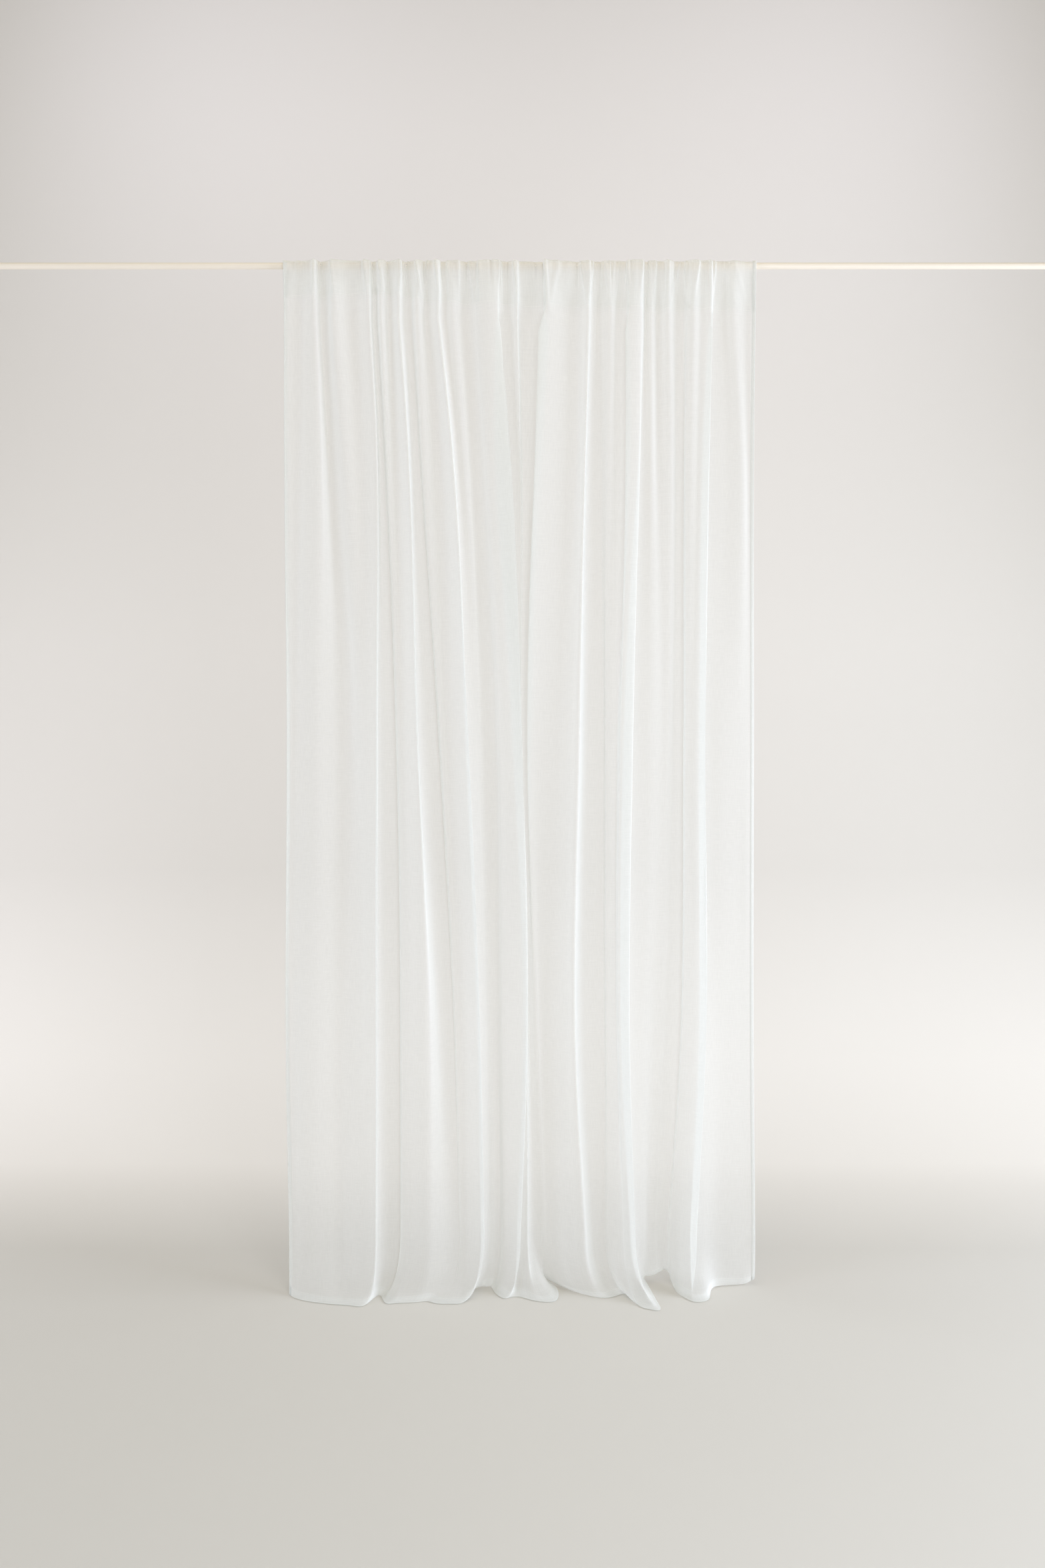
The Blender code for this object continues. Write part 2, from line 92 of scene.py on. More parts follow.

# %% [markdown]
# ## The folds
#
# Every crest and hollow of the cloth can be followed from the rod to the hem. Each is one row of
# this table, from the left edge to the right one. "Rod" to "knee" are its distances from the middle
# at five heights, and "top", "body" and "foot" say how far it stands towards the room at three
# heights. The last three columns place its end on the hem. A cloth simulation would give likely
# folds, but not these ones, and their unevenness is what makes the curtain recognisable, so they
# are listed one by one. A fold whose distances run backwards is lapped: it lies flat over itself.

# %% Table of fold lines, in millimetres
X_HEIGHTS = (2.489, 2.244, 1.422, 0.652, 0.12)  # of "rod" to "knee", metres
DEPTH_HEIGHTS = (2.50, 1.42, 0.14)  # of "top", "body" and "foot", metres
FOLD_LINES = (
    # name          rod  high   mid   low  knee  top body foot  across out lift
    ("edge_left",  -612, -612, -606, -607, -597,   6,   0,  10, -592,   36,    0),
    ("hollow_a",   -573, -577, -591, -593, -587,  -6,  -9,   8, -575,   55,    0),
    ("plate_a",    -554, -554, -557, -560, -558,   4,   4,  20, -549,   70,    0),
    ("fold_a",     -532, -521, -525, -528, -530,  15,  12,  26, -516,   81,    0),
    ("slope_a",    -524, -513, -501, -500, -498,   2,   4,  24, -485,   89,    0),
    ("hollow_b",   -519, -506, -471, -473, -470, -12, -14,  18, -461,   93,    0),
    ("edge_ab",    -504, -493, -444, -455, -452,  -6, -14,  22, -441,   96,    0),
    ("fold_ab",    -482, -462, -418, -416, -416,  18,   2,  36, -420,  100,    0),
    ("hollow_bb",  -437, -422, -395, -394, -392, -11,  14,  42, -405,  104,    0),
    ("fold_b",     -392, -376, -368, -367, -367,  14,  26,  50, -391,   96,    0),
    ("under_b",    -388, -375, -378, -376, -374,   2,   6,  34, -376,   59,    0),
    ("hollow_c",   -385, -372, -362, -359, -355, -12, -20,   6, -365,   40,    0),
    ("c_back",     -378, -364, -321, -311, -307,  -9, -20,   8, -359,   43,    0),
    ("c_front",    -369, -357, -328, -315, -314,   8,  -9,  14, -353,   59,    0),
    ("fold_c",     -360, -350, -315, -304, -299,  12,   0,  24, -339,   89,    0),
    ("hollow_d",   -344, -332, -305, -290, -278, -14,   2,  30, -316,   85,    0),
    ("fold_d",     -317, -298, -265, -240, -240,  16,  26,  44, -270,   81,    0),
    ("under_d",    -308, -294, -272, -228, -220,   2,   8,  38, -237,   74,    0),
    ("hollow_e",   -297, -286, -252, -209, -177, -12, -20,  16, -220,   85,    0),
    ("e_back",     -287, -273, -210, -172, -157,  -9, -20,  12, -203,   89,    0),
    ("e_front",    -279, -267, -218, -176, -160,   5, -10,  14, -189,   89,    0),
    ("fold_e",     -266, -256, -207, -168, -152,  13,  -4,  16, -174,   89,    0),
    ("hollow_f",   -248, -222, -193, -154, -143, -13, -12,  16, -161,   89,    0),
    ("fold_f",     -216, -189, -136, -105,  -93,  15,  26,  42, -150,   85,    0),
    ("under_f",    -210, -185, -148, -116, -105,   3,  10,  28, -138,   24,    0),
    ("f_right",    -197, -175, -125,  -98,  -89,  -4,  -3,   6, -123,    0,    0),
    ("fold_g",     -178, -157, -113,  -88,  -81,   9, -10,  -6, -106,   -7,    2),
    ("hollow_g",   -155, -138, -100,  -76,  -69, -13, -17, -16,  -93,   -4,    3),
    ("h_left",     -131, -115,  -72,  -62,  -58, -11, -14, -14,  -82,   -7,    2),
    ("plate_h",    -106,  -92,  -56,  -48,  -48,  12,   4,   8,  -71,   24,    0),
    ("fold_h",      -55,  -32,    3,   15,   -3,  14,  25,  34,  -47,   59,    0),
    ("under_h",     -72,  -77,  -27,    0,  -15,   4,   8,  20,  -29,   51,    0),
    ("i_left",      -36,  -26,  -12,    3,  -14,  -8,   2,  10,  -10,   47,    0),
    ("fold_i",      -14,   -7,   -2,   12,   15,  13,   0,  26,   27,   70,    0),
    ("under_i",      -9,   -5,   -5,   10,   12,   0,  -6,  12,   57,   78,    0),
    ("hollow_j",      5,    3,    0,   17,   24, -12, -14,  -8,   84,   74,    0),
    ("under_j",      72,   58,   22,   22,   34,  -4,  -6, -10,   89,    0,    3),
    ("fold_j",       37,   32,    9,   38,   55,  16,   8,  -5,   49,  -43,   14),
    ("plate_j",      75,   65,   41,   48,   65,  12,   0,  -8,  113,    0,    0),
    ("hollow_k",    131,  134,   89,   72,   89, -11,  -1,  -4,  139,   24,    0),
    ("plate_k",     151,  149,  123,  109,  119,  -2,  12,  16,  175,   47,    0),
    ("fold_k",      169,  163,  144,  134,  159,  14,  25,  36,  205,   55,    0),
    ("under_k",     176,  166,  150,  140,  167,   2,   6,  20,  226,   51,    0),
    ("hollow_l",    187,  177,  165,  160,  185,  -5, -18,  -6,  247,   36,    0),
    ("l_back",      196,  199,  210,  210,  211,  -9, -20, -10,  261,   32,    0),
    ("l_front",     214,  214,  213,  214,  216,   4,  -8,  -4,  270,   43,    0),
    ("fold_l",      227,  224,  226,  229,  232,  10,   0,   8,  279,   78,    0),
    ("hollow_m",    244,  242,  243,  242,  255,  -5,   1,  22,  290,  100,    0),
    ("m_under",     276,  280,  246,  242,  261,   2,  10,  30,  294,  107,    0),
    ("m_left",      261,  261,  251,  251,  272,  14,  25,  42,  305,  115,    0),
    ("fold_m",      302,  303,  285,  274,  288,  15,  30,  54,  340,  126,    0),
    ("under_m",     312,  301,  256,  250,  274,   0,  12,  32,  335,   63,    0),
    ("m_right",     316,  314,  284,  273,  286,  -5,   2,  14,  324,   -8,    5),
    ("fold_n",      329,  330,  332,  311,  307,   9,   3,   0,  315,  -35,   16),
    ("hollow_n",    350,  349,  360,  337,  320,  -9,  -4, -14,  339,  -33,   20),
    ("fold_o",      373,  379,  376,  357,  338,  14,  -5, -18,  358,  -45,   24),
    ("hollow_o",    395,  397,  394,  376,  348,  -7, -17, -22,  376,  -51,   30),
    ("p_back",      415,  419,  423,  410,  372,  -7, -16, -18,  382,  -41,   22),
    ("p_front",     422,  416,  413,  405,  376,   4,  -2,  -8,  386,  -29,    8),
    ("fold_p",      438,  434,  427,  423,  399,  17,   9,  12,  389,   -3,    0),
    ("hollow_q",    460,  455,  444,  441,  414,   5,  10,  26,  396,   32,    0),
    ("fold_q",      489,  482,  468,  469,  442,  16,  30,  44,  413,   59,    0),
    ("under_q",     476,  462,  450,  449,  424,   2,   4,  18,  430,   78,    0),
    ("q_right",     507,  504,  475,  477,  454,  -3,   4,  10,  467,   70,    0),
    ("plate_r",     521,  531,  513,  513,  497,  -4,   6,  -2,  488,   -3,    2),
    ("crease_r",    539,  557,  554,  555,  546,  10,   6,  -6,  541,  -19,    0),
    ("hollow_r",    576,  579,  578,  575,  573,  -3,   4,  -6,  577,  -25,    1),
    ("edge_right",  598,  595,  594,  594,  599,   5,   1,  -5,  602,  -41,    8),
)
line_x = np.array([row[1:6] for row in FOLD_LINES], float) * MM
line_depth = np.array([row[6:9] for row in FOLD_LINES], float) * MM
line_hem = np.array([row[9:12] for row in FOLD_LINES], float) * MM
print(len(FOLD_LINES), "fold lines")

# %% [markdown]
# Two kinds of curve turn the table into cloth. One glides down each line through its values at the
# few heights given. The other runs across, through all lines at one height. The second is a
# centripetal Catmull-Rom curve, because that kind never overshoots into a knot where two lines lie
# close together, as they do on both sides of a crease.

# %% Curves
def glide(at, places, values):
    """A smooth curve through values, given at places, read at many places. One value set each."""
    order = np.argsort(places)
    places = np.asarray(places, float)[order]
    values = np.asarray(values, float)[order]
    slopes = np.gradient(values, places, axis=0)
    at = np.clip(np.asarray(at, float), places[0], places[-1])
    k = np.clip(np.searchsorted(places, at, side="right") - 1, 0, len(places) - 2)
    span = (places[k + 1] - places[k])[:, None]
    t = (at - places[k])[:, None] / span
    return (
        (2 * t**3 - 3 * t**2 + 1) * values[k]
        + (t**3 - 2 * t**2 + t) * span * slopes[k]
        + (3 * t**2 - 2 * t**3) * values[k + 1]
        + (t**3 - t**2) * span * slopes[k + 1]
    )


def through(lines, count):
    """Curves across all lines, one for each row of lines (rows, lines, 3), count points a span."""
    first = 2 * lines[:, :1] - lines[:, 1:2]
    last = 2 * lines[:, -1:] - lines[:, -2:-1]
    padded = np.concatenate([first, lines, last], axis=1)
    points = []
    for k in range(1, lines.shape[1]):
        p0, p1, p2, p3 = (padded[:, k + step] for step in (-1, 0, 1, 2))
        t1 = np.linalg.norm(p1 - p0, axis=1, keepdims=True) ** 0.5
        t2 = t1 + np.linalg.norm(p2 - p1, axis=1, keepdims=True) ** 0.5
        t3 = t2 + np.linalg.norm(p3 - p2, axis=1, keepdims=True) ** 0.5
        for step in range(count):
            t = t1 + (t2 - t1) * step / count
            a1 = (t1 - t) / t1 * p0 + t / t1 * p1
            a2 = (t2 - t) / (t2 - t1) * p1 + (t - t1) / (t2 - t1) * p2
            a3 = (t3 - t) / (t3 - t2) * p2 + (t - t2) / (t3 - t2) * p3
            b1 = (t2 - t) / t2 * a1 + t / t2 * a2
            b2 = (t3 - t) / (t3 - t1) * a2 + (t - t1) / (t3 - t1) * a3
            points.append((t2 - t) / (t2 - t1) * b1 + (t - t1) / (t2 - t1) * b2)
    points.append(lines[:, -1])
    return np.stack(points, axis=1)


# %% [markdown]
# Over the rod the cloth is slack and stands off as far as its gathers puff, more at the left than
# at the right. Below the rod each line eases to its own depth within a hand's breadth. The pocket's
# seam also keeps the cloth from lapping over itself, so there the lines that run backwards are moved
# up to their neighbours. `hang` gives all the lines at the heights asked for.

# %% The hanging part
CLOTH_GAP = 0.0014  # the rod's surface to the cloth's middle
PUFF_SHARE = 0.80  # of a fold's depth below the rod, that already shows on the rod
PUFF_TOP_SHARE = 0.2  # of that, which also stands above the rod
SLACK_LEFT, SLACK_RIGHT = 0.0050, 0.0025  # how far the cloth stands off the rod between tucks
LEAST_STEP = 0.004  # across, between lines that lie one behind the other at the seam
UNLAPPED_FROM, UNLAPPED_AT = 2.47, 2.51  # heights between which the laps open out
DEPTH_EASE = 1.5  # power of the share of the way up at which a line reaches the rod's depth
wrap_radius = ROD_RADIUS + CLOTH_GAP
slack = np.linspace(SLACK_LEFT, SLACK_RIGHT, len(FOLD_LINES))
puff = PUFF_SHARE * np.maximum(line_depth[:, 0], 0) + slack


def unlapped(across):
    """The same distances, but none runs backwards."""
    from_left = np.maximum.accumulate(across, axis=-1)
    from_right = np.minimum.accumulate(across[..., ::-1], axis=-1)[..., ::-1]
    steps = LEAST_STEP * np.arange(across.shape[-1])
    return np.maximum.accumulate((from_left + from_right) / 2 - steps, axis=-1) + steps


def clear_of_rod(points, least):
    """Points nearer to the rod's axis than the least distance are moved out to it."""
    from_axis = points[..., 1:] - (ROD_Y, ROD_Z)
    distance = np.linalg.norm(from_axis, axis=-1, keepdims=True)
    points[..., 1:] += from_axis * (np.maximum(distance, least) / distance - 1)
    return points


def hang(heights):
    """The fold lines at heights between the rod and the knee, as (heights, lines, 3)."""
    heights = np.asarray(heights, float)
    across = glide(heights, X_HEIGHTS, line_x.T)
    opened = np.clip((heights - UNLAPPED_FROM) / (UNLAPPED_AT - UNLAPPED_FROM), 0, 1)[:, None]
    across = across + (unlapped(across) - across) * opened
    free = glide(heights, DEPTH_HEIGHTS, line_depth.T)
    top = DEPTH_HEIGHTS[0]
    share = np.clip((heights - top) / (ROD_Z - top), 0, 1)[:, None] ** DEPTH_EASE
    depth = free + (wrap_radius + puff - free) * share
    return np.stack([across, ROD_Y - depth, np.broadcast_to(heights[:, None], across.shape)], -1)


print(f"slack lines stand {ROD_Y - hang([ROD_Z])[0, :, 1].max() - ROD_RADIUS:.4f} m off the rod")

# %% [markdown]
# From the knee, a hand's breadth above the floor, each line falls on, turns and runs out to its end
# on the floor. A Bezier curve does that with one handle straight down and one along the floor.

# %% The part on the floor
KNEE_HEIGHT = 0.15
KNEE_DROP = 0.105  # how far the cloth keeps falling before it turns
FLOOR_EASE = 0.42  # share of the run along the floor that stays flat
HEM_HEIGHT = 0.0022  # the upper layer of the hem, which lies on its turned-up layer


def knee_to_hem(shares):
    """The fold lines between the knee (0) and the hem's edge (1)."""
    s = np.asarray(shares, float)[:, None, None]
    knee = hang([KNEE_HEIGHT])[0]
    out, lift = line_hem[:, 1], line_hem[:, 2]
    hem = np.stack([line_hem[:, 0], ROD_Y - out, HEM_HEIGHT + lift], -1)
    below = knee - np.array([0, 0, KNEE_DROP])
    before = hem + FLOOR_EASE * (knee - hem) * np.array([1, 1, 0])
    falling = (1 - s) ** 3 * knee + 3 * (1 - s) ** 2 * s * below
    return falling + 3 * (1 - s) * s**2 * before + s**3 * hem


print(f"the hem spreads over {np.ptp(line_hem[:, 1]):.3f} m of floor")

# %% [markdown]
# The pocket is the same cloth, folded over the rod and down behind. Its sewn edge wavers and is
# lower at the right than at the left, because the fold was pinned by eye.

# %% The pocket behind the rod
POCKET_EDGE = (
    # across, and from the top of the rod down to the seam, in millimetres
    (-612,  90),
    (-550,  83),
    (-495,  90),
    (-430,  80),
    (-320,  85),
    (-245, 100),
    (   0, 109),
    ( 370, 121),
    ( 598, 123),
)
SEWN_GAP = 0.0012  # between the two layers at the seam


def on_rod(degrees):
    """The fold lines where they pass over the rod: 0 is its front, 90 its top and 180 its back."""
    angle = np.radians(np.asarray(degrees, float))[:, None]
    across = np.broadcast_to(hang([ROD_Z])[0][:, 0], (len(degrees), len(FOLD_LINES)))
    out = (wrap_radius + puff) * np.cos(angle)
    rise = (wrap_radius + PUFF_TOP_SHARE * puff) * np.sin(angle)
    return np.stack([across, ROD_Y - out, ROD_Z + rise], -1)


def behind(front):
    """Rows of points set back from the front layer, square to its folds seen from above."""
    along = np.gradient(front, axis=1)
    square = np.stack([-along[..., 1], along[..., 0], np.zeros(along.shape[:2])], -1)
    square /= np.linalg.norm(square, axis=-1, keepdims=True)
    return front + square * SEWN_GAP


# %% [markdown]
# ## One sheet
#
# The rows are put in order from the pocket's seam over the rod to the hem. They are close together
# where the cloth bends sharply, at the rod and on the floor, and further apart between. Cloth never
# folds to an edge under its own weight, so every row is eased: each point moves a little towards
# the middle of its two neighbours, nine times over, which rounds the turns and leaves the rest.

# %% Rows and columns of the sheet
COLUMNS_PER_LINE = 9
EASINGS = 9
HEADING_STEP = 0.006
POCKET_SHARES = np.linspace(0, 1, 11)[1:]  # of the way from the rod's back down to the seam
ROD_ANGLES = np.arange(180, -1, -15)
HEADING_HEIGHTS = np.arange(ROD_Z - HEADING_STEP, DEPTH_HEIGHTS[0], -HEADING_STEP)
BODY_HEIGHTS = np.linspace(2.490, 0.17, 69)
KNEE_SHARES = np.linspace(0, 1, 38)


def folds(lines):
    """Rows of points through the fold lines, with their sharpest turns rounded."""
    rows = through(lines, COLUMNS_PER_LINE)
    for _ in range(EASINGS):
        rows[:, 1:-1] = (rows[:, :-2] + 2 * rows[:, 1:-1] + rows[:, 2:]) / 4
    return rows


over_rod = clear_of_rod(folds(on_rod(ROD_ANGLES)), wrap_radius)
heading = clear_of_rod(folds(hang(HEADING_HEIGHTS)), wrap_radius)
body = folds(hang(BODY_HEIGHTS))
foot = folds(knee_to_hem(KNEE_SHARES))
foot[..., 2] = np.maximum(foot[..., 2], HEM_HEIGHT)

columns = over_rod.shape[1]
back = over_rod[0]
edge_across, edge_depth = np.array(POCKET_EDGE, float).T * MM
seam_z = ROD_Z + ROD_RADIUS - np.interp(back[:, 0], edge_across, edge_depth)
seam_front = np.stack([folds(hang([z]))[0, column] for column, z in enumerate(seam_z)])
seam = behind(seam_front[None])[0]
pocket = np.stack([back + (seam - back) * share for share in POCKET_SHARES])
front = np.concatenate([over_rod, heading, body, foot])
print(f"{len(pocket)} rows in the pocket, {len(front)} to the hem, {columns} columns")

# %% [markdown]
# A cloth's own coordinates are the distances along its threads, so they are measured on the sheet:
# across at mid height, and down along the columns. Small wrinkles and the weave will use them.

# %% Distances along the threads
def running_length(points):
    """Distance along a row of points, from its first one."""
    steps = np.linalg.norm(np.diff(points, axis=0), axis=1)
    return np.concatenate([[0], np.cumsum(steps)])


MEASURE_EVERY = 8  # columns, down the cloth
sheet_points = np.concatenate([pocket[::-1], front])
top_row, middle_row = over_rod[len(over_rod) // 2], body[len(body) // 2]
thread_across = running_length(middle_row)
down_columns = [running_length(sheet_points[:, i]) for i in range(0, columns, MEASURE_EVERY)]
thread_down = np.mean(down_columns, axis=0)
for name, row in (("rod", top_row), ("mid height", middle_row), ("hem", foot[-1])):
    print(f"cloth across at the {name}: {running_length(row)[-1]:.3f} m")
print(f"cloth down: {thread_down[-1]:.3f} m")

# %% [markdown]
# ## Gathers and wrinkles
#
# The cloth is pushed together along the rod, so between the main folds it stands up in narrow
# crests with tight tucks beside them. Most run into a main fold at the pocket's seam, and some meet
# there in pairs. They are listed one by one too: each row gives where one crosses the rod and where
# it reaches the seam, how far it rises from the cloth and how wide it is.

# %% Table of gathers, in millimetres
GATHERS = (
    # kind     rod  seam  rise width
    ("crest",  -577, -587,  4.5,   5),
    ("crest",  -533, -535,    7,   4),
    ("tuck",   -517, -517,   -6, 2.5),
    ("crest",  -488, -481,    6,   4),
    ("tuck",   -416, -416,   -6, 2.5),
    ("crest",  -404, -396,    7,   4),
    ("tuck",   -384, -384,   -6, 2.5),
    ("crest",  -366, -354,    6,   4),
    ("tuck",   -346, -344,   -6, 2.5),
    ("crest",  -314, -314,    6,   4),
    ("tuck",   -298, -298,   -6, 2.5),
    ("crest",  -271, -260,    6, 3.5),
    ("tuck",   -252, -252,   -6, 2.5),
    ("crest",  -243, -257,    6, 3.5),
    ("crest",  -222, -213,    6,   4),
    ("crest",  -190, -190,    5,   4),
    ("tuck",   -207, -205,   -6, 2.5),
    ("crest",  -166, -166,    6,   4),
    ("tuck",   -144, -144,   -6, 2.5),
    ("crest",  -137, -123,  4.5, 3.5),
    ("tuck",   -120, -120,   -6, 2.5),
    ("crest",  -111, -110,  4.5,   4),
    ("tuck",    -80,  -80,   -6, 2.5),
    ("crest",   -60,  -55,    7,   4),
    ("tuck",    -39,  -39,   -6, 2.5),
    ("crest",   -21,  -14,    6,   4),
    ("tuck",     34,   34,   -6, 2.5),
    ("tuck",     51,   51,   -6, 2.5),
    ("crest",    58,   65,  4.5,   4),
    ("crest",    89,   75,    6,   4),
    ("tuck",    103,  103,   -6, 2.5),
    ("crest",   116,  113,    3,   4),
    ("tuck",    140,  140,   -6, 2.5),
    ("crest",   151,  163,    5, 3.5),
    ("crest",   178,  170,    5, 3.5),
    ("tuck",    199,  199,   -6, 2.5),
    ("crest",   214,  223,  4.5,   4),
    ("tuck",    228,  228,   -6, 2.5),
    ("crest",   248,  235,  4.5,   4),
    ("crest",   272,  264,    6,   4),
    ("tuck",    276,  280,   -6, 2.5),
    ("crest",   305,  301,    6,   4),
    ("tuck",    318,  318,   -6, 2.5),
    ("crest",   339,  336,  4.5, 3.5),
    ("tuck",    361,  364,   -6, 2.5),
    ("crest",   373,  373,    6,   4),
    ("tuck",    390,  390,   -6, 2.5),
    ("crest",   401,  380,  3.5,   3),
    ("crest",   419,  417,  4.5, 3.5),
    ("crest",   449,  438,    6,   4),
    ("tuck",    475,  477,   -6, 2.5),
    ("crest",   491,  486,    7,   4),
    ("crease",  514,  541,  1.5,   5),
    ("crease",  541,  572,  1.5,   5),
)
SEAM_DROP = 0.085  # from the rod's axis to where a gather reaches the seam
GATHER_FADE = 0.095  # and to where it is gone
TUCK_FADE = 0.070  # tucks are gone sooner
FLATTER_ON_TOP = 0.7  # the cloth's weight presses the gathers down on the rod
INTO_CLOTH = 0.0008  # how far a tuck may go past the slack, towards the rod
TOUCHING = 0.0004  # the rod's surface to the middle of the cloth, where a tuck lies on it
print(len(GATHERS), "gathers, tucks and creases")

# %% [markdown]
# Real voile is never smooth between its folds either. There are shallow dents, faint creases and,
# near the rod, fine ridges. They are too many to place by hand, so they are soft random bumps on
# the cloth's own coordinates, long down the cloth and narrow across, pushed square to the surface.

# %% Random bumps
RIPPLES = (
    # kind     width  length  height, in metres, and the seed
    ("ridges",  0.006, 0.050, 0.0008, 4),
    ("dents",   0.055, 0.450, 0.0015, 5),
    ("dents",   0.021, 0.220, 0.0002, 6),
    ("creases", 0.009, 0.090, 0.00006, 7),
)
FLAT_BELOW = 0.05  # the cloth is pressed smooth nearer to the floor
NEARLY_NOTHING = 1e-9  # keeps a division from failing where a cell has no area


def ripples(size_across, size_down, seed):
    """Bumps from -1 to 1 over the sheet, of the given width and length in metres."""
    across, down = thread_across / size_across, thread_down / size_down
    heights = np.random.default_rng(seed).uniform(-1, 1, (int(down[-1]) + 2, int(across[-1]) + 2))
    i, j = down.astype(int), across.astype(int)
    s, t = ((x - x.astype(int)) for x in (down, across))
    s, t = ((3 * x**2 - 2 * x**3) for x in (s, t))
    s = s[:, None]
    upper = heights[i][:, j] * (1 - t) + heights[i][:, j + 1] * t
    lower = heights[i + 1][:, j] * (1 - t) + heights[i + 1][:, j + 1] * t
    return upper * (1 - s) + lower * s


def square_to(points):
    """The surface's direction towards the room, at each point of a grid."""
    across = np.gradient(points, axis=1)
    down = np.gradient(points, axis=0)
    direction = np.cross(down, across)
    length = np.linalg.norm(direction, axis=-1, keepdims=True)
    return direction / np.maximum(length, NEARLY_NOTHING)


# %% [markdown]
# Gathers and wrinkles add up to one push for each point. The gathers fade below the pocket, fine
# ridges show only near the rod and dents only away from it. A tuck may close the slack but stays
# outside the rod, and the pocket's back layer stays plain.

# %% Push the gathers and wrinkles in
below_rod = np.maximum(ROD_Z - sheet_points[..., 2], 0)
gathers = np.zeros(below_rod.shape)
for kind, at_rod, at_seam, rise, width in GATHERS:
    fade = TUCK_FADE if kind == "tuck" else GATHER_FADE
    middle = (at_rod + (at_seam - at_rod) * below_rod / SEAM_DROP) * MM
    ridge = np.exp(-(((sheet_points[..., 0] - middle) / (width * MM)) ** 2))
    gathers += rise * MM * ridge * np.exp(-2 * (below_rod / fade) ** 2)
slack_here = np.interp(sheet_points[..., 0], line_x[[0, -1], 0], (SLACK_LEFT, SLACK_RIGHT))
gathers = np.maximum(gathers, -INTO_CLOTH - slack_here)
on_top = np.clip((sheet_points[..., 2] - ROD_Z) / wrap_radius, 0, 1)
gathers *= 1 - FLATTER_ON_TOP * on_top
near_rod = np.exp(-((below_rod / TUCK_FADE) ** 2))
above_floor = np.clip((sheet_points[..., 2] - HEM_HEIGHT) / FLAT_BELOW, 0, 1)
bumps = {"ridges": 0, "dents": 0, "creases": 0}
for kind, width, length, height, seed in RIPPLES:
    bumps[kind] = bumps[kind] + ripples(width, length, seed) * height
away_from_rod = (1 - near_rod) * (bumps["dents"] + bumps["creases"]) * above_floor
push = gathers + near_rod * bumps["ridges"] + away_from_rod
push[: len(pocket)] = 0
facing_room = square_to(sheet_points)
sheet_points = clear_of_rod(sheet_points + facing_room * push[..., None], ROD_RADIUS + TOUCHING)
print(f"the cloth is pushed by {push.min() / MM:.1f} to {push.max() / MM:.1f} mm")

# %% [markdown]
# ## Hems
#
# Raw voile frays, so each edge is turned to the back and stitched. The side hems are 9 mm wide and
# the bottom one 24 mm. Two layers let less light through than one, which draws a brighter line
# along the edges. Each hem is more of the same sheet: rows that go back inwards, a little behind.

# %% Turn the edges
SIDE_HEM = 0.009
BOTTOM_HEM = 0.024
LAYER_GAP = 0.0007
FIRST_STEP = 0.0015  # from the fold to the first row behind it
BOTTOM_STEPS, SIDE_STEPS = 8, 3
ON_FLOOR = 0.0008  # the lowest that a layer's middle lies


def turned(points, width, steps):
    """More rows after the last row of points, turned back over it by width, behind it."""
    direction = square_to(points)
    fold = [points[-1] - direction[-1] * LAYER_GAP / 2]
    lengths = np.stack([running_length(points[::-1, i]) for i in range(points.shape[1])], axis=1)
    for distance in np.linspace(FIRST_STEP, width, steps):
        row = np.empty_like(points[-1])
        for i in range(points.shape[1]):
            for axis in range(3):
                layer = points[::-1, i, axis] - direction[::-1, i, axis] * LAYER_GAP
                row[i, axis] = np.interp(distance, lengths[:, i], layer)
        fold.append(row)
    return np.concatenate([points, np.stack(fold)])


def turned_twice(points, width, steps):
    """Turned back, and then out again behind itself, so that no raw edge shows."""
    return turned(turned(points, width, steps), width - LAYER_GAP, steps)


def turned_left_and_right(points, width, steps):
    """The same on both sides of the sheet."""
    flipped = points.transpose(1, 0, 2)
    right = turned_twice(flipped, width, steps)
    left = turned_twice(right[::-1], width, steps)[::-1]
    return left.transpose(1, 0, 2)


with_bottom = turned(sheet_points, BOTTOM_HEM, BOTTOM_STEPS)
sheet = turned_left_and_right(with_bottom, SIDE_HEM, SIDE_STEPS)
sheet[..., 2] = np.maximum(sheet[..., 2], ON_FLOOR)
print("sheet:", sheet.shape[0], "rows of", sheet.shape[1], "points")

# %% [markdown]
# The mesh is a plain grid over those points. Its UV map holds the distances along the threads in
# metres, so the weave keeps its scale however the cloth is folded.

# %% The sheet's mesh
def grid_mesh(name, points, across, down):
    """A grid of quads over points (rows, columns, 3), with its thread distances as UV map."""
    rows, width = points.shape[:2]
    corner = (np.arange(rows - 1)[:, None] * width + np.arange(width - 1)).ravel()
    quads = np.stack([corner, corner + width, corner + width + 1, corner + 1], axis=1)
    mesh = bpy.data.meshes.new(name)
    mesh.from_pydata(points.reshape(-1, 3), [], quads)
    u, v = np.broadcast_to(across, (rows, width)), np.broadcast_to(down[:, None], (rows, width))
    at_points = np.stack([u, v], axis=-1).reshape(-1, 2)
    layer = mesh.uv_layers.new(name="threads")
    layer.data.foreach_set("uv", at_points[quads.ravel()].ravel())
    mesh.shade_smooth()
    made = bpy.data.objects.new(name, mesh)
    bpy.context.scene.collection.objects.link(made)
    return made


one_turn = np.concatenate([[0], np.linspace(FIRST_STEP, SIDE_HEM, SIDE_STEPS)])
side = np.concatenate([one_turn, one_turn + SIDE_HEM])
bottom = np.concatenate([[0], np.linspace(FIRST_STEP, BOTTOM_HEM, BOTTOM_STEPS)])
across_all = np.concatenate([-side[::-1], thread_across, thread_across[-1] + side])
across_all += 2 * SIDE_HEM
down_all = np.concatenate([thread_down, thread_down[-1] + bottom])
voile_sheet = grid_mesh("voile_sheet", sheet, across_all, down_all)

# %% [markdown]
# ## Stitches
#
# A lockstitch runs along every hem and along the pocket's seam: short straight stitches of fine
# thread, one after the other. That repeats, so a Geometry Nodes tree makes it: a curve is cut into
# steps of one stitch, and a tiny rod of thread is put on each step. The tree ends in Realize
# Instances, and the result is turned into a plain mesh.

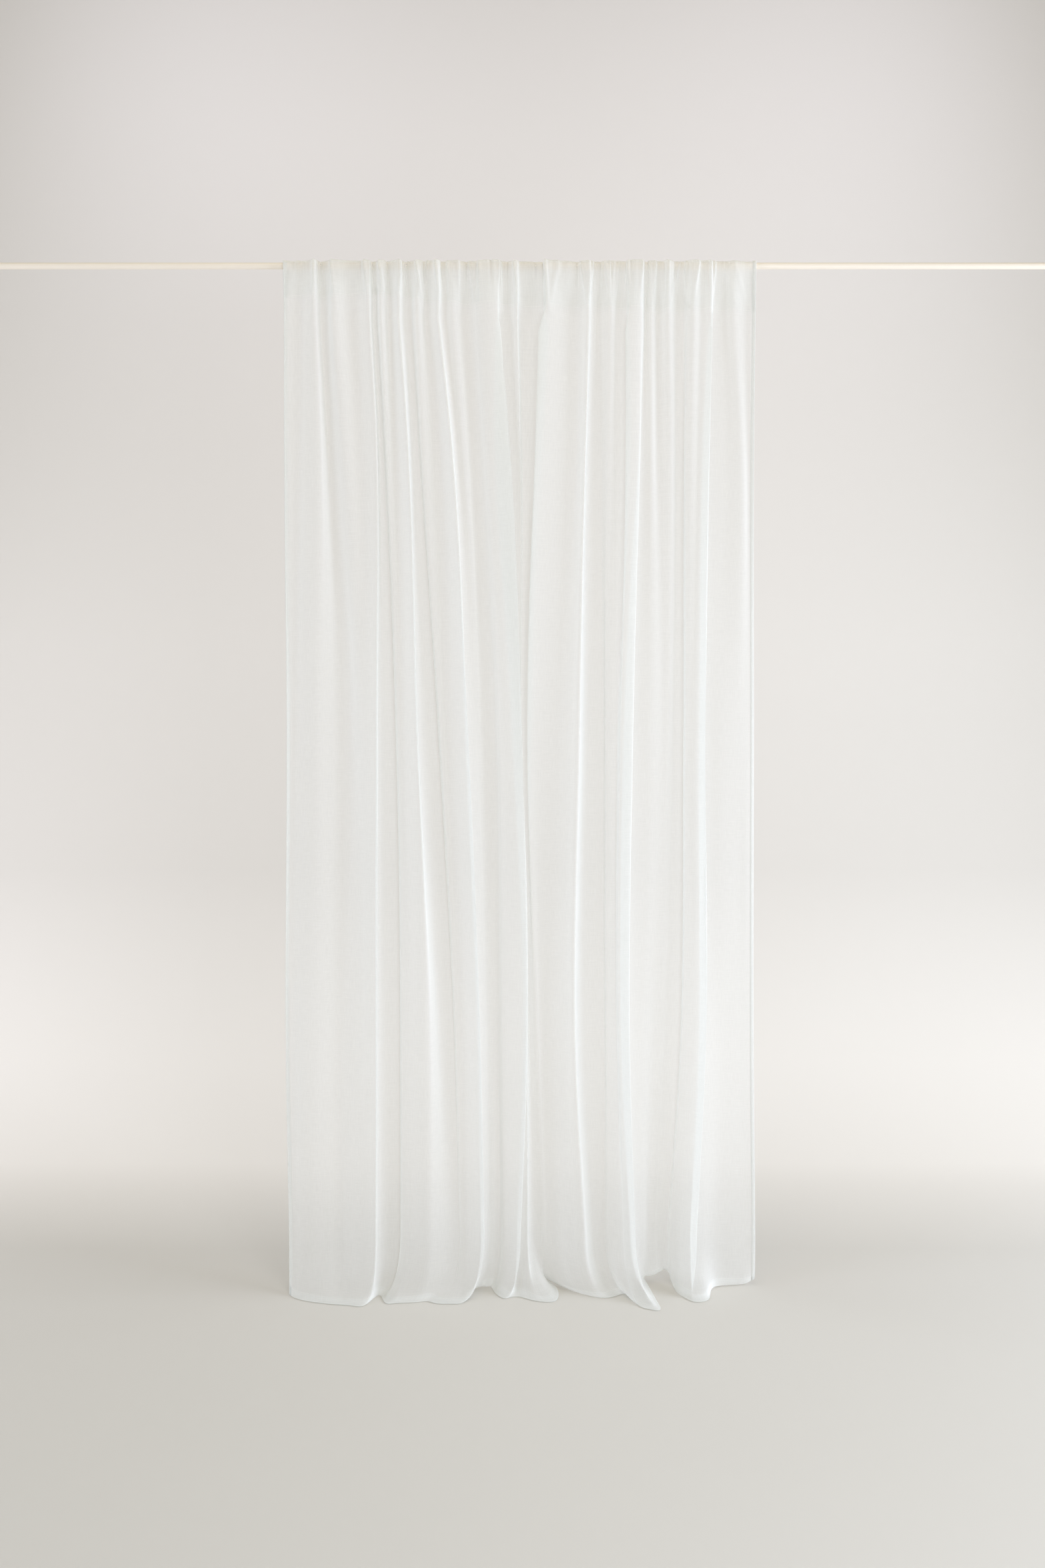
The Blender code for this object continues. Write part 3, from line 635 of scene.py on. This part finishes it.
# %% A small helper for nodes
def add(tree, kind, links=None, **settings):
    """Adds a node, sets its own settings, and links or sets its inputs by name or number."""
    node = tree.nodes.new(kind)
    for name, value in settings.items():
        setattr(node, name, value)
    for name, value in (links or {}).items():
        if isinstance(value, bpy.types.NodeSocket):
            tree.links.new(value, node.inputs[name])
        else:
            node.inputs[name].default_value = value
    return node


# %% The stitching tree
THREAD_SIDES = 5  # enough for a thread this fine


def stitching_tree():
    """Stitches along the edges of a mesh, with named inputs."""
    tree = bpy.data.node_groups.new("lockstitch along a seam", "GeometryNodeTree")
    tree.interface.new_socket("Seam", in_out="INPUT", socket_type="NodeSocketGeometry")
    for name in ("Stitch Pitch", "Stitch Length", "Thread Radius"):
        tree.interface.new_socket(name, in_out="INPUT", socket_type="NodeSocketFloat")
    tree.interface.new_socket("Thread", in_out="INPUT", socket_type="NodeSocketMaterial")
    tree.interface.new_socket("Stitches", in_out="OUTPUT", socket_type="NodeSocketGeometry")
    given = add(tree, "NodeGroupInput").outputs
    seam = add(tree, "GeometryNodeMeshToCurve", {"Mesh": given["Seam"]})
    steps = add(
        tree,
        "GeometryNodeResampleCurve",
        {"Curve": seam.outputs["Curve"], "Length": given["Stitch Pitch"]},
        mode="LENGTH",
    )
    stitch = add(
        tree,
        "GeometryNodeMeshCylinder",
        {
            "Vertices": THREAD_SIDES,
            "Radius": given["Thread Radius"],
            "Depth": given["Stitch Length"],
        },
    )
    along = add(
        tree,
        "FunctionNodeAlignRotationToVector",
        {"Vector": add(tree, "GeometryNodeInputTangent").outputs["Tangent"]},
        axis="Z",
    )
    placed = add(
        tree,
        "GeometryNodeInstanceOnPoints",
        {
            "Points": steps.outputs["Curve"],
            "Instance": stitch.outputs["Mesh"],
            "Rotation": along.outputs["Rotation"],
        },
    )
    real = add(tree, "GeometryNodeRealizeInstances", {"Geometry": placed.outputs["Instances"]})
    finished = add(
        tree,
        "GeometryNodeSetMaterial",
        {"Geometry": real.outputs["Geometry"], "Material": given["Thread"]},
    )
    add(tree, "NodeGroupOutput", {"Stitches": finished.outputs["Geometry"]})
    return tree


# %% [markdown]
# ## Finishes
#
# Colours are picked as the sRGB hex values that a picture shows, and Blender's shaders need linear
# ones, so one function turns them round.

# %% Colours
def linear(code):
    """An sRGB hex colour as linear red, green, blue and alpha."""
    values = [int(code[i : i + 2], 16) / 255 for i in (0, 2, 4)]
    return [v / 12.92 if v <= 0.04045 else ((v + 0.055) / 1.055) ** 2.4 for v in values] + [1.0]


def new_material(name):
    """An empty node material with its output, as the material and its tree."""
    material = bpy.data.materials.new(name)
    material.use_nodes = True
    material.node_tree.nodes.clear()
    return material, material.node_tree


# %% [markdown]
# ### Voile
#
# Voile is a plain weave of fine, hard-twisted yarns with open spaces between them. Light does three
# things: it bounces off the yarns, glows through them, and passes straight through the spaces. A
# diffuse shader does the first, a translucent one the second and a transparent one the third. Seen
# at a slant the spaces close up, so a steep fold looks denser than a flat one. The share of light
# that gets through is the open share to the power of one over the cosine of the angle.

# %% Voile material
OPEN_SHARE = 0.46  # of the cloth seen face on
STEEPEST = 0.3  # least cosine of the slant that still closes the spaces
GLOW_SHARE = 0.38  # of the light on the yarns, that goes through them
SLUB_WIDTH = 0.0018  # thick places in the yarns, drawn three times too coarse
SLUB_LENGTH = 0.030
SLUB_SHARE = 0.24  # how far they change the open share, from the thinnest to the thickest


def slubs(tree, threads, lengthwise):
    """Streaks of thick yarn, from 0 to 1, running along the cloth or across it."""
    scale = (1 / SLUB_WIDTH, 1 / SLUB_LENGTH) if lengthwise else (1 / SLUB_LENGTH, 1 / SLUB_WIDTH)
    placed = add(tree, "ShaderNodeMapping", {"Vector": threads, "Scale": (*scale, 1)})
    return add(
        tree,
        "ShaderNodeTexNoise",
        {"Vector": placed.outputs["Vector"], "Scale": 1.0, "Detail": 2.0, "Roughness": 0.55},
        noise_dimensions="2D",
    ).outputs["Fac"]


def voile_material():
    """Matt yarns with a faint relief, and open spaces between them."""
    material, tree = new_material("plain woven white voile")
    threads = add(tree, "ShaderNodeUVMap", uv_map="threads").outputs["UV"]
    warp = slubs(tree, threads, lengthwise=True)
    weft = slubs(tree, threads, lengthwise=False)
    weave = add(tree, "ShaderNodeMath", {0: warp, 1: weft}, operation="ADD").outputs[0]
    closed = add(
        tree, "ShaderNodeMath", {0: weave, 1: SLUB_SHARE / 2}, operation="MULTIPLY"
    ).outputs[0]
    looseness = add(
        tree, "ShaderNodeMath", {0: 1 + SLUB_SHARE / 2, 1: closed}, operation="SUBTRACT"
    ).outputs[0]
    open_share = add(
        tree, "ShaderNodeMath", {0: looseness, 1: OPEN_SHARE}, operation="MULTIPLY"
    ).outputs[0]
    facing = add(tree, "ShaderNodeLayerWeight", {"Blend": 0.5}).outputs["Facing"]
    cosine = add(tree, "ShaderNodeMath", {0: 1.0, 1: facing}, operation="SUBTRACT").outputs[0]
    slant = add(tree, "ShaderNodeMath", {0: cosine, 1: STEEPEST}, operation="MAXIMUM").outputs[0]
    layers = add(tree, "ShaderNodeMath", {0: 1.0, 1: slant}, operation="DIVIDE").outputs[0]
    through_cloth = add(
        tree, "ShaderNodeMath", {0: open_share, 1: layers}, operation="POWER"
    ).outputs[0]
    relief = add(
        tree,
        "ShaderNodeBump",
        {"Height": weave, "Strength": 0.3, "Distance": 0.0001},
    ).outputs["Normal"]
    white = linear("F7F8F6")  # bleached, and so nearly neutral
    yarn = add(
        tree,
        "ShaderNodeBsdfPrincipled",
        {"Base Color": white, "Roughness": 0.9, "Specular IOR Level": 0.2, "Normal": relief},
    )
    glow = add(tree, "ShaderNodeBsdfTranslucent", {"Color": white, "Normal": relief})
    cloth = add(
        tree,
        "ShaderNodeMixShader",
        {0: GLOW_SHARE, 1: yarn.outputs["BSDF"], 2: glow.outputs["BSDF"]},
    )
    space = add(tree, "ShaderNodeBsdfTransparent")
    mixed = add(
        tree,
        "ShaderNodeMixShader",
        {0: through_cloth, 1: cloth.outputs["Shader"], 2: space.outputs["BSDF"]},
    )
    add(tree, "ShaderNodeOutputMaterial", {"Surface": mixed.outputs["Shader"]})
    return material


voile = voile_material()
voile_sheet.data.materials.append(voile)
print(voile.name, "has", len(voile.node_tree.nodes), "nodes")

# %% [markdown]
# ### Thread
#
# Hems are sewn with spun polyester. It is a little greyer and glossier than the cloth, with a few
# loose fibres, so a row of stitches draws a fine line.


# %% Thread material
def thread_material():
    """Spun polyester: half gloss, with a slight sheen of loose fibres."""
    material, tree = new_material("white polyester thread")
    shader = add(
        tree,
        "ShaderNodeBsdfPrincipled",
        {"Base Color": linear("E2E0DA"), "Roughness": 0.55, "Sheen Weight": 0.2},
    )
    add(tree, "ShaderNodeOutputMaterial", {"Surface": shader.outputs["BSDF"]})
    return material


thread = thread_material()

# %% [markdown]
# ### The rod's lacquer
#
# A steel tube, sprayed with cream lacquer. Lacquer is a clear-looking satin skin with a faint
# orange-peel, so the highlight along the top is soft and a little uneven.

# %% Lacquer material
PEEL_SIZE = 0.004  # the ripple of sprayed lacquer


def lacquer_material():
    """A satin skin over a plain colour, with its fine ripple."""
    material, tree = new_material("cream satin lacquer on steel")
    place = add(tree, "ShaderNodeTexCoord").outputs["Object"]
    peel = add(
        tree,
        "ShaderNodeTexNoise",
        {"Vector": place, "Scale": 1 / PEEL_SIZE, "Detail": 1.0},
    ).outputs["Fac"]
    relief = add(tree, "ShaderNodeBump", {"Height": peel, "Strength": 0.15, "Distance": 0.0002})
    shader = add(
        tree,
        "ShaderNodeBsdfPrincipled",
        {
            "Base Color": linear("F2E8D9"),
            "Roughness": 0.38,
            "IOR": 1.5,
            "Normal": relief.outputs["Normal"],
        },
    )
    add(tree, "ShaderNodeOutputMaterial", {"Surface": shader.outputs["BSDF"]})
    return material


lacquer = lacquer_material()
rod = bpy.data.objects["rod"]
for slot in rod.material_slots:
    slot.material = lacquer
print("rod:", len(rod.material_slots), "slot in", lacquer.name)

# %% [markdown]
# Now the stitches can be laid. Each seam is a line of points just in front of the cloth.

# %% Lay the stitches
STITCH_PITCH = 0.0032
STITCH_LENGTH = 0.0025
THREAD_RADIUS = 0.00010
STITCH_INSET = 0.0015  # from the hem's inner edge
STITCH_LIFT = 0.0001  # from the middle of the cloth


def stitches(name, seams):
    """Stitches along lists of points, as one plain mesh."""
    points = np.concatenate(seams)
    ends = np.cumsum([len(s) for s in seams])
    edges = [(i, i + 1) for i in range(len(points) - 1) if i + 1 not in ends]
    mesh = bpy.data.meshes.new(name + "_path")
    mesh.from_pydata(points, edges, [])
    guide = bpy.data.objects.new(name + "_path", mesh)
    bpy.context.scene.collection.objects.link(guide)
    tree = stitching_tree()
    maker = guide.modifiers.new("stitches", "NODES")
    maker.node_group = tree
    values = {
        "Stitch Pitch": STITCH_PITCH,
        "Stitch Length": STITCH_LENGTH,
        "Thread Radius": THREAD_RADIUS,
        "Thread": thread,
    }
    for socket in tree.interface.items_tree:
        if socket.name in values:
            maker[socket.identifier] = values[socket.name]
    evaluated = guide.evaluated_get(bpy.context.evaluated_depsgraph_get())
    plain = bpy.data.meshes.new_from_object(evaluated)
    plain.name = name
    made = bpy.data.objects.new(name, plain)
    bpy.context.scene.collection.objects.link(made)
    bpy.data.objects.remove(guide)
    print(f"{name}: {sum(len(p.vertices) - 2 for p in plain.polygons)} triangles")
    return made


def along_rows(rows, distance):
    """On each row of points, the point at a distance from its first one."""
    return np.array([
        [np.interp(distance, running_length(row), values) for values in row.T] for row in rows
    ])


in_front = sheet_points + square_to(sheet_points) * STITCH_LIFT
hung = in_front[len(pocket) :]
columns_down = hung.transpose(1, 0, 2)
heights_near_seam = slice(len(ROD_ANGLES), len(ROD_ANGLES) + len(HEADING_HEIGHTS) + 2)
pocket_seam = np.array([
    [np.interp(-height, -column[:, 2], values) for values in column.T]
    for height, column in zip(seam_z + STITCH_INSET, columns_down[:, heights_near_seam])
])
hem_seams = [
    along_rows(columns_down[:, ::-1], BOTTOM_HEM - STITCH_INSET),
    along_rows(hung, SIDE_HEM - STITCH_INSET),
    along_rows(hung[:, ::-1], SIDE_HEM - STITCH_INSET),
]
hem_stitches = stitches("hem_stitching", hem_seams)
pocket_stitches = stitches("pocket_stitching", [pocket_seam])

# %% [markdown]
# ## The studio
#
# A seamless sweep of pale paper: a floor that curves up into a wall, so there is no line behind the
# cloth. Sheer cloth takes half of its brightness from what is behind it, so the paper's colour
# counts, and it holds painted light and shade: painted shade darkens the floor in front, painted
# light makes it palest where it starts to rise, and the wall is between the two. It is seen from
# its inner side only, so the curtain can be looked at from behind as well.

# %% Sweep
SWEEP_WIDTH = 14.0
SWEEP_FRONT = -6.0
SWEEP_BACK = 2.8
SWEEP_CURVE = 2.0
SWEEP_TOP = 7.0
# Painted light in the paper's colour: palest where it rises, where the lamps reach least.
PAPER_AND_PAINTED_LIGHT_TONES = (("Y", 0.3, 1.0, "F2EEE7"), ("Z", 0.2, 0.9, "E3DFD8"))  # from, to, next tone


def sweep():
    """The paper: flat floor, quarter turn and upright wall."""
    turn = np.radians(np.linspace(0, 90, 25))
    start = SWEEP_BACK - SWEEP_CURVE
    rising = [
        (start + SWEEP_CURVE * math.sin(angle), SWEEP_CURVE - SWEEP_CURVE * math.cos(angle))
        for angle in turn
    ]
    profile = [(SWEEP_FRONT, 0.0), *rising, (SWEEP_BACK, SWEEP_TOP)]
    half = SWEEP_WIDTH / 2
    points = np.array([[(x, y, z) for x in (half, -half)] for y, z in profile])
    down = np.arange(len(profile), dtype=float)
    return grid_mesh("sweep", points, np.array([0.0, SWEEP_WIDTH]), down)


def sweep_material():
    """Matt paper with painted shade in front and painted light where it rises, seen from one side."""
    material, tree = new_material("pale warm grey paper, with painted light and shade")
    place = add(
        tree,
        "ShaderNodeSeparateXYZ",
        {"Vector": add(tree, "ShaderNodeNewGeometry").outputs["Position"]},
    )
    # The floor in front starts darker: painted shade.
    tone = linear("D7D4CD")
    for axis, start, end, next_tone in PAPER_AND_PAINTED_LIGHT_TONES:
        share = add(
            tree,
            "ShaderNodeMapRange",
            {"Value": place.outputs[axis], "From Min": start, "From Max": end},
        ).outputs["Result"]
        tone = add(
            tree,
            "ShaderNodeMix",
            {0: share, 6: tone, 7: linear(next_tone)},
            data_type="RGBA",
        ).outputs[2]
    shader = add(
        tree,
        "ShaderNodeBsdfPrincipled",
        {"Base Color": tone, "Roughness": 0.95, "Specular IOR Level": 0.1},
    ).outputs["BSDF"]
    from_outside = add(tree, "ShaderNodeNewGeometry").outputs["Backfacing"]
    nothing = add(tree, "ShaderNodeBsdfTransparent").outputs["BSDF"]
    one_sided = add(tree, "ShaderNodeMixShader", {0: from_outside, 1: shader, 2: nothing})
    add(tree, "ShaderNodeOutputMaterial", {"Surface": one_sided.outputs["Shader"]})
    return material


floor = sweep()
floor.data.materials.append(sweep_material())
print("sweep:", len(floor.data.polygons), "faces")

# %% [markdown]
# Two large soft boxes stand at the sides, the right one with twice the light of the left one. They
# rake across the cloth, which lights the flanks of the folds and leaves the hollows dim, as in the
# picture. A small one low in front lifts the hem, one from above lights the floor and the cloth on
# it, and weak ones wash the wall. A dim warm sky fills the hollows.

# %% Lights
SOFT_BOXES = (
    # name, place, what it points at, size in metres, watts, colour
    ("key", (3.91, -0.83, 1.5), (0, 0, 1.2), 2.0, 126, "E6EEFF"),
    ("fill", (-3.90, -1.82, 1.5), (0, 0, 1.1), 2.0, 61, "E2EBFF"),
    ("low front", (1.2, -3.3, 0.95), (0, 0, 0.6), 1.2, 48, "E6ECFA"),
    ("top", (0, -1.6, 4.6), (0, 0.2, 1.2), 2.6, 34, "FFF6E8"),
    ("left wall", (-3.4, 0.6, 1.3), (-1.6, SWEEP_BACK, 0.8), 1.6, 17, "F0F0FF"),
    ("high wall left", (-1.8, 0.9, 4.9), (-0.4, SWEEP_BACK, 4.4), 1.6, 17, "EAEAFF"),
    ("high wall right", (1.8, 0.9, 4.9), (0.4, SWEEP_BACK, 4.4), 1.6, 17, "EAEAFF"),
)
SKY_COLOUR, SKY_STRENGTH = "FFFAE4", 0.33


def softbox(name, place, target, size, watts, colour):
    """A square light that points at its target and doesn't show itself."""
    data = bpy.data.lights.new(name, "AREA")
    data.shape = "SQUARE"
    data.size = size
    data.energy = watts
    data.color = linear(colour)[:3]
    made = bpy.data.objects.new(name, data)
    made.location = place
    direction = np.array(target, float) - np.array(place, float)
    flat = math.hypot(direction[0], direction[1])
    tilt, turn = math.atan2(flat, -direction[2]), math.atan2(-direction[0], direction[1])
    made.rotation_euler = (tilt, 0, turn)
    made.visible_camera = False
    bpy.context.scene.collection.objects.link(made)


for row in SOFT_BOXES:
    softbox(*row)
world = bpy.data.worlds.new("studio air")
world.use_nodes = True
sky = world.node_tree.nodes["Background"]
sky.inputs["Color"].default_value = linear(SKY_COLOUR)
sky.inputs["Strength"].default_value = SKY_STRENGTH
bpy.context.scene.world = world
bpy.context.scene.view_settings.view_transform = "Standard"
print(len(SOFT_BOXES), "soft boxes,", sum(row[4] for row in SOFT_BOXES), "W in all")

# %% [markdown]
# ## Attaching the pieces
#
# Each piece is hung on the root body, and the CAD model's thick stand-in cloth is hidden, since the
# thin sheet takes its place.

# %% Attach the pieces and hide the stand-in
pieces = {voile_sheet: "voile", hem_stitches: "voile", pocket_stitches: "voile"}
for piece, slot in pieces.items():
    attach(piece, "root")
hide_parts("voile_panel")
